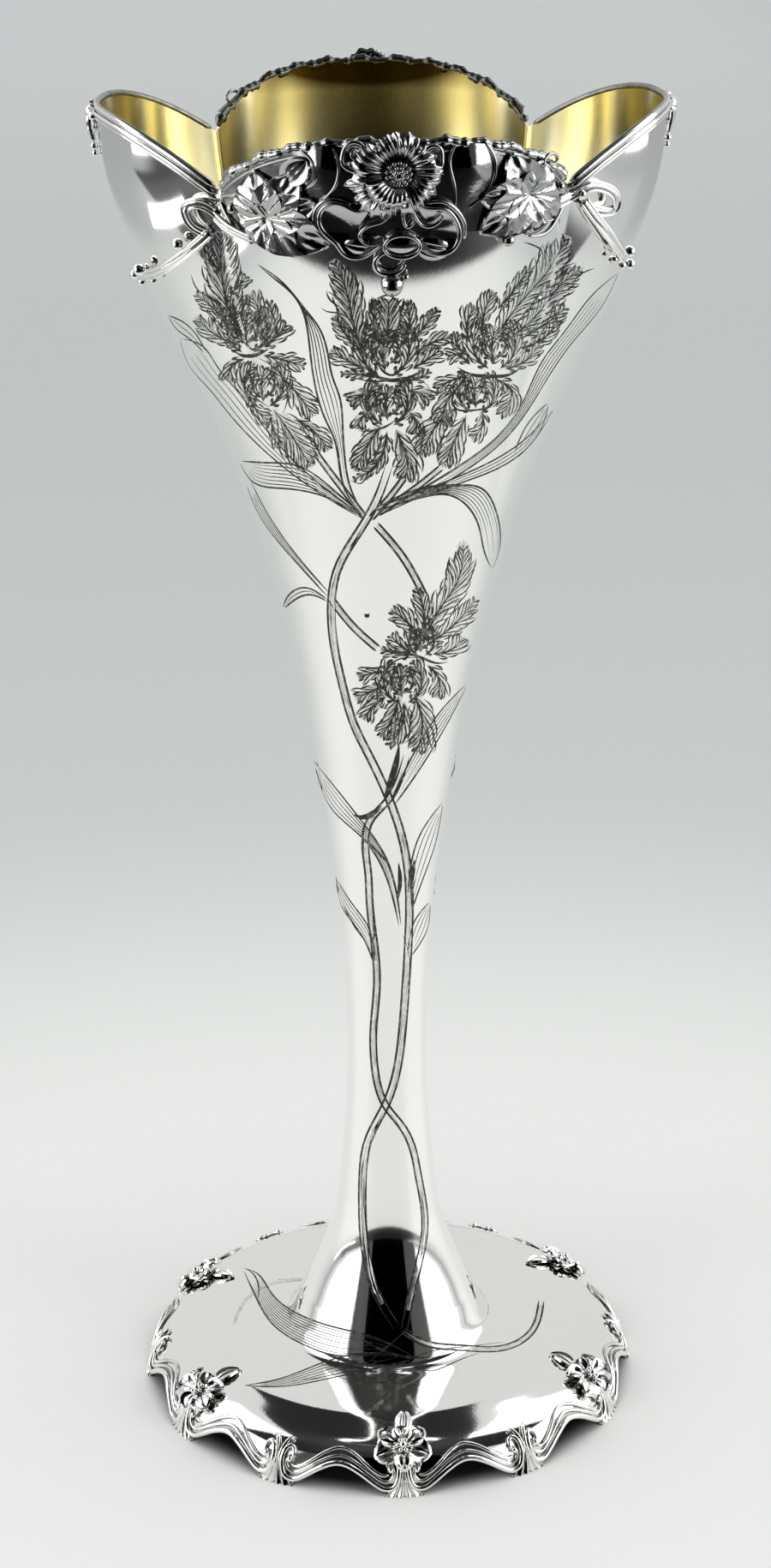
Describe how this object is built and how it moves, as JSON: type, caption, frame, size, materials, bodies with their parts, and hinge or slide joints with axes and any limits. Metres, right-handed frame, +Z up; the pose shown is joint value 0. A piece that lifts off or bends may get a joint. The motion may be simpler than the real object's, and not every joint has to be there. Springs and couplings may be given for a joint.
{
  "type": "trumpet vase",
  "caption": "Tall silver trumpet vase with a lobed gilt mouth, cast flower garlands, engraved irises and a wide domed foot on a reeded scalloped border.",
  "frame": {"origin": "on the table, under the axis of the vase", "axes": "+Z up along the axis of the vase, -Y to the front, towards one of the two garlanded lobes, +X to the right of the front"},
  "size_m": [0.2084, 0.2, 0.5146],
  "materials": {
    "polished_silver": "hand polished silver, gilt on the inside of the trumpet",
    "cast_silver": "cast and chased silver with darkened hollows"
  },
  "bodies": {
    "root": {"trumpet_body": "polished_silver", "foot_dome": "polished_silver", "stem_floor": "polished_silver", "foot_border": "cast_silver", "rim_wire_right": "cast_silver", "rim_wire_left": "cast_silver", "rim_tip_right": "cast_silver", "rim_tip_left": "cast_silver", "fan_foot_1": "cast_silver", "fan_foot_2": "cast_silver", "fan_foot_3": "cast_silver", "fan_foot_4": "cast_silver", "fan_foot_5": "cast_silver", "fan_foot_6": "cast_silver", "fan_foot_7": "cast_silver", "fan_foot_8": "cast_silver", "fan_foot_9": "cast_silver", "fan_foot_10": "cast_silver", "fan_foot_11": "cast_silver", "fan_foot_12": "cast_silver", "foot_flower_1": "cast_silver", "foot_flower_2": "cast_silver", "foot_flower_3": "cast_silver", "foot_flower_4": "cast_silver", "foot_flower_5": "cast_silver", "foot_flower_6": "cast_silver", "garland_ribbon_front": "cast_silver", "garland_ribbon_back": "cast_silver", "bloom_front": "cast_silver", "bloom_back": "cast_silver", "bloom_heart_front": "cast_silver", "bloom_heart_back": "cast_silver", "vine_leaf_left_front": "cast_silver", "vine_leaf_left_back": "cast_silver", "vine_leaf_right_front": "cast_silver", "vine_leaf_right_back": "cast_silver", "scroll_left_front": "cast_silver", "scroll_left_back": "cast_silver", "scroll_right_front": "cast_silver", "scroll_right_back": "cast_silver", "oval_boss_front": "cast_silver", "oval_boss_back": "cast_silver", "pendant_ball_front": "cast_silver", "pendant_ball_back": "cast_silver", "whiplash_left_front": "cast_silver", "whiplash_left_back": "cast_silver", "whiplash_right_front": "cast_silver", "whiplash_right_back": "cast_silver"}
  },
  "joints": []
}
